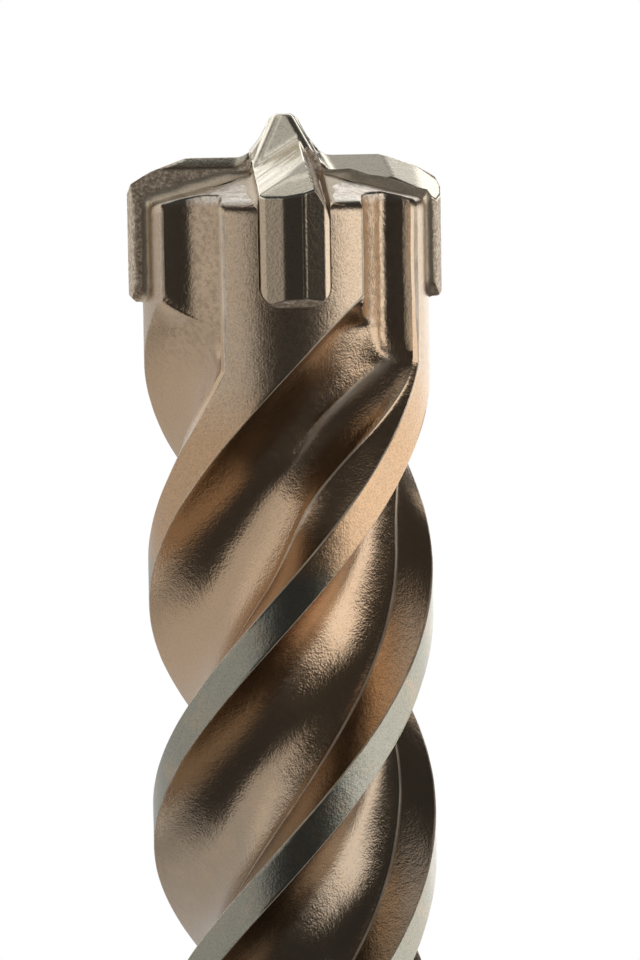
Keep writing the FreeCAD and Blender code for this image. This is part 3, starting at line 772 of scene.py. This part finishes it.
quads, marks, first = [], [], 0
for points, ground in grids:
    rows, columns = points.shape[:2]
    quads.append(grid_faces(first + np.arange(rows * columns).reshape(rows, columns)))
    marks.append(np.broadcast_to(ground, (rows, columns)).reshape(-1))
    first += rows * columns
points = np.concatenate([points.reshape(-1, 3) for points, ground in grids])
kept, first_use, renumber = np.unique(
    np.round(points, 5), axis=0, return_index=True, return_inverse=True)
quads = renumber.reshape(-1)[np.concatenate(quads)]
carbide = put_mesh("carbide_cross", kept, quads.tolist(), smooth_angle=34)
put_attribute(carbide, "ground", np.concatenate(marks)[first_use])
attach(carbide, "root")
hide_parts("carbide_head")

PRESSED_DARK = (0.60, 0.47, 0.35, 1)
PRESSED_LIGHT = (1.0, 0.90, 0.75, 1)
GROUND_END = (0.58, 0.465, 0.34, 1)
GROUND_TOP = (0.80, 0.735, 0.60, 1)
CARBIDE_SHADE = (0.24, 0.18, 0.12, 1)

sintered, make = new_material("sintered_carbide")
place = make.place()
grain = make.noise(place, 0.13, 3.0, 0.6)
coarse = make.noise(place, 0.3, 2.0, 0.5)
fleck = make.noise(place, 0.2, 3.0, 0.7)
ground = make.attribute("ground")
pressed = ground.band(0.45, 0.0)
skin = make.mix(fleck.band(0.40, 0.62), PRESSED_DARK, PRESSED_LIGHT)
tint = make.mix(ground.band(0.0, 0.45), skin, GROUND_END)
tint = make.mix(ground.band(0.5, 0.75), tint, GROUND_TOP)
tint = make.mix(grain.band(0.50, 0.34) * 0.25, tint, CARBIDE_SHADE)
relief = (grain * 0.6 + coarse * 0.4) * (0.3 + pressed * 0.9) + fleck * pressed * 0.5
make.metal(tint, 0.15 + pressed * 0.58, relief, 0.5, 0.07)
carbide.data.materials.append(sintered)

# Braze: copper alloy that filled the slots round the carbide when the head was heated. Where it came
# out it set as a narrow smooth fillet between the carbide and the steel, blasted with the rest.

FACE_WIDTH, FACE_HEIGHT = 0.36, 0.27
LEDGE_WIDTH, LEDGE_HEIGHT = 0.85, 0.36
BRAZE_ROOT, BRAZE_TUCK = 0.22, 0.2
BRAZE_START, BRAZE_EMERGES = 1.9, 1.4
BRAZE_UNEVEN = 0.13
BEND_Z = LEDGE_Z - 0.35
BRAZE_TONE = (0.82, 0.70, 0.54, 1)
BRAZE_SHADE = (0.42, 0.33, 0.23, 1)


def braze_path():
    """Edge of a cutter where it meets the steel, as (out, across, z): out along the ledge, down one
    side of the end, round the foot and up the other side."""
    out = np.linspace(BRAZE_START, LEDGE_RADIUS, 22)
    ledge = np.stack([out, 0 * out - CUTTER_HALF, ledge_height(out)], -1)
    face = np.sqrt(BODY_RADIUS ** 2 - CUTTER_HALF ** 2)
    lip = np.array([[face - 0.08, -CUTTER_HALF, LEDGE_Z - 0.1]])
    down = np.linspace(BEND_Z, CUTTER_FOOT + FOOT_RADIUS, 26)
    side = np.stack([0 * down + face, 0 * down - CUTTER_HALF, down], -1)
    turn = np.radians(np.linspace(0, 90, 13))[1:-1]
    across = -(CUTTER_HALF - FOOT_RADIUS) - FOOT_RADIUS * np.cos(turn)
    rise = CUTTER_FOOT + FOOT_RADIUS * (1 - np.sin(turn))
    bend = np.stack([np.sqrt(BODY_RADIUS ** 2 - across ** 2), across, rise], -1)
    under = np.linspace(-(CUTTER_HALF - FOOT_RADIUS), 0, 7)
    base = np.stack([np.sqrt(BODY_RADIUS ** 2 - under ** 2), under, 0 * under + CUTTER_FOOT], -1)
    half = np.concatenate([ledge, lip, side, bend, base])
    return np.concatenate([half, half[::-1][1:] * np.array([1, -1, 1])])


def braze_frames(path):
    """Direction away from the carbide along the steel, and direction out of the steel, at each point
    of the path: on the ledge up, on the wing's face outwards, and between them by degrees."""
    tangent = np.gradient(path, axis=0)
    tangent /= np.linalg.norm(tangent, axis=1, keepdims=True)
    radial = path * np.array([1, 1, 0])
    radial /= np.linalg.norm(radial, axis=1, keepdims=True)
    upward = above(BEND_Z, path[:, 2], 0.4)[:, None]
    out = radial * (1 - upward) + np.array([0, 0, 1.0]) * upward
    out -= tangent * np.sum(out * tangent, axis=1, keepdims=True)
    out /= np.linalg.norm(out, axis=1, keepdims=True)
    return np.cross(out, tangent), out, upward


path = braze_path()
aside, out, upward = braze_frames(path)
hollow = np.linspace(0, np.pi / 2, 7)[1:]
profile_aside = np.concatenate([[-BRAZE_TUCK, 0.0], 1 - np.cos(hollow), [1.0, -BRAZE_TUCK]])
profile_out = np.concatenate([[0.0, 1.0], 1 - np.sin(hollow), [0.0, 0.0]])
emerging = 0.1 + 0.9 * above(BRAZE_START, path[:, :1], BRAZE_EMERGES)
uneven = (1 + BRAZE_UNEVEN * waves(path, 0.9, 21)[:, None]) * emerging
wide = (FACE_WIDTH + (LEDGE_WIDTH - FACE_WIDTH) * upward) * uneven
tall = (FACE_HEIGHT + (LEDGE_HEIGHT - FACE_HEIGHT) * upward) * uneven
bead = (
    path[:, None, :] - aside[:, None, :] * (profile_aside * wide)[..., None]
    + out[:, None, :] * (profile_out * (tall + BRAZE_ROOT) - BRAZE_ROOT)[..., None])
braze_points, braze_faces = [], []
around = len(profile_aside)
for wing, angle in enumerate(WING_TURNS):
    index = np.arange(len(path) * around).reshape(len(path), around) + wing * len(path) * around
    braze_points.append(turned(bead, angle).reshape(-1, 3))
    braze_faces += grid_faces(np.concatenate([index, index[:, :1]], 1)).tolist()
    braze_faces += [index[0].tolist()[::-1], index[-1].tolist()]
braze = put_mesh("braze_fillet", np.concatenate(braze_points), braze_faces, smooth_angle=40)
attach(braze, "root")
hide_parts("braze_seam")

alloy, make = new_material("blasted_braze")
grain = make.noise(make.place(), 0.12, 2.0, 0.6)
tint = make.mix(grain.band(0.6, 0.35) * 0.3, BRAZE_TONE, BRAZE_SHADE)
make.metal(tint, 0.42 + grain * 0.1, grain, 0.4, 0.05)
braze.data.materials.append(alloy)

# Studio: a broad soft panel on the left that reaches below the bit, a sloping strip on the right, a
# sweep behind and a small ceiling. The camera's side stays dark, so the metal keeps its contrast. The
# bearing is 0 towards -Y and grows to the right, the rise is 0 at the horizon, and both are in degrees.

BASE_LIGHT, PANEL_LIGHT, PANEL_LIGHT_ABOVE = 0.05, 0.58, 0.26
STRIP_LIGHT, CEILING_LIGHT, SLOPE_LIGHT = 1.45, 0.42, 0.2

world = bpy.data.worlds.new("studio")
bpy.context.scene.world = world
world.use_nodes = True
make = Finish(world.node_tree)
split = make.add("ShaderNodeSeparateXYZ", {}, {0: make.add("ShaderNodeTexCoord", output=0)})
sideways, forward, upward = (Wire(make, split.socket.node.outputs[axis]) for axis in range(3))
bearing = sideways.math("ARCTAN2", forward * -1.0) * np.degrees(1)
rise = upward.math("ARCSINE") * np.degrees(1)
on_right = bearing.band(-10.0, 10.0)
off_front = bearing.math("ABSOLUTE")

left_edge = bearing + 28.0 + rise.band(4.0, 18.0) * 36.0
left_edge = left_edge + rise.band(-17.0, -38.0) * 50.0 - rise.band(-50.0, -80.0) * 25.0
left = left_edge.band(10.0, -9.0) * rise.band(26.0, 18.0) * (1.0 - rise.band(-50.0, -85.0) * 0.45)
left = left * (PANEL_LIGHT + rise.band(-2.0, 6.0) * PANEL_LIGHT_ABOVE)

right_edge = bearing - 35.0 - rise.band(-7.0, -20.0) * 24.0 + rise.band(-2.0, 6.0) * 7.0
right_top = rise - 16.0 + bearing.band(48.0, 90.0) * 12.0
right = right_edge.band(-9.0, 8.0) * right_top.band(5.0, -5.0) * rise.band(-30.0, -19.0) * STRIP_LIGHT

sweep = off_front.band(115.0, 140.0) * rise.band(14.0, 22.0) * rise.band(76.0, 62.0)
sweep = sweep * (1.0 - rise.band(30.0, 43.0) * 0.62)
sweep = sweep * (1.0 + on_right * rise.band(40.0, 34.0) * 0.5)
sweep = sweep * (1.0 - on_right * bearing.band(166.0, 153.0) * rise.band(27.0, 34.0) * 0.65)

ahead = off_front.band(50.0, 25.0)
ceiling = rise.band(58.0, 66.0) * (ahead + (1.0 - ahead) * rise.band(76.0, 82.0)) * CEILING_LIGHT
left_slope = (bearing.band(10.0, -20.0) + bearing.band(-20.0, -60.0)) * rise.band(48.0, 60.0)

level = BASE_LIGHT + left + right + sweep + ceiling + left_slope * SLOPE_LIGHT
studio = make.add("ShaderNodeBackground", {}, {
    "Color": make.add("ShaderNodeCombineXYZ", {}, {0: level, 1: level, 2: level}), "Strength": 1.0})
white = make.add("ShaderNodeBackground", {}, {"Color": (1, 1, 1, 1), "Strength": 1.0})
camera_ray = make.add("ShaderNodeLightPath", output=0)
both = make.add("ShaderNodeMixShader", {}, {0: camera_ray, 1: studio, 2: white})
make.add("ShaderNodeOutputWorld", {}, {0: both})

# floor: a pale disc that holds the shadow and fades into the white, lit by a soft lamp overhead
FLOOR_RADIUS, FLOOR_SIDES = 45.0, 96
LAMP_SIZE, LAMP_HEIGHT, LAMP_WATTS = 0.5, 0.6, 3.2
floor_angles = np.arange(FLOOR_SIDES) * 360.0 / FLOOR_SIDES
floor_points = np.pad(polar(FLOOR_RADIUS, floor_angles), ((0, 0), (0, 1)))
floor = put_mesh("floor", floor_points, [list(range(FLOOR_SIDES))])
pale, make = new_material("pale_floor")
shader = make.add("ShaderNodeBsdfPrincipled", {}, {
    "Base Color": (0.88, 0.88, 0.88, 1), "Roughness": 0.9,
    "Alpha": make.length(make.place()).band(FLOOR_RADIUS, FLOOR_RADIUS * 0.4)})
make.add("ShaderNodeOutputMaterial", {}, {0: shader})
floor.data.materials.append(pale)

lamp_data = bpy.data.lights.new("softbox_overhead", "AREA")
lamp_data.shape, lamp_data.size, lamp_data.energy = "DISK", LAMP_SIZE, LAMP_WATTS
lamp = bpy.data.objects.new("softbox_overhead", lamp_data)
lamp.location = (0.0, 0.0, LAMP_HEIGHT)
lamp.visible_glossy = False
bpy.context.scene.collection.objects.link(lamp)

# camera: close to the head and a little above it, turned slightly to its left
TURN, TILT, ROLL = np.radians([4.05, 5.9, 0.93])
DISTANCE, AIM_X, AIM_Z = 220.0, 1.57, 141.4
NEAREST, FARTHEST = 0.01, 10.0
SENSOR, FOCAL_PIXELS, FRAME_HEIGHT = 36.0, 4325.0, 960
look = np.array([np.sin(TURN) * np.cos(TILT), np.cos(TURN) * np.cos(TILT), -np.sin(TILT)])
level_right = np.array([np.cos(TURN), -np.sin(TURN), 0.0])
upright = np.cross(level_right, look)
side = level_right * np.cos(ROLL) - upright * np.sin(ROLL)
overhead = level_right * np.sin(ROLL) + upright * np.cos(ROLL)
stand = (level_right * AIM_X + np.array([0, 0, AIM_Z]) - look * DISTANCE) * MM
pose = np.eye(4)
pose[:3] = np.stack([side, overhead, -look, stand], -1)
camera_data = bpy.data.cameras.new("camera")
camera_data.sensor_width = SENSOR
camera_data.lens = FOCAL_PIXELS * SENSOR / FRAME_HEIGHT
camera_data.clip_start, camera_data.clip_end = NEAREST, FARTHEST
camera = bpy.data.objects.new("camera", camera_data)
camera.matrix_world = Matrix(pose.tolist())
bpy.context.scene.collection.objects.link(camera)
bpy.context.scene.camera = camera
bpy.context.scene.view_settings.view_transform = "Standard"
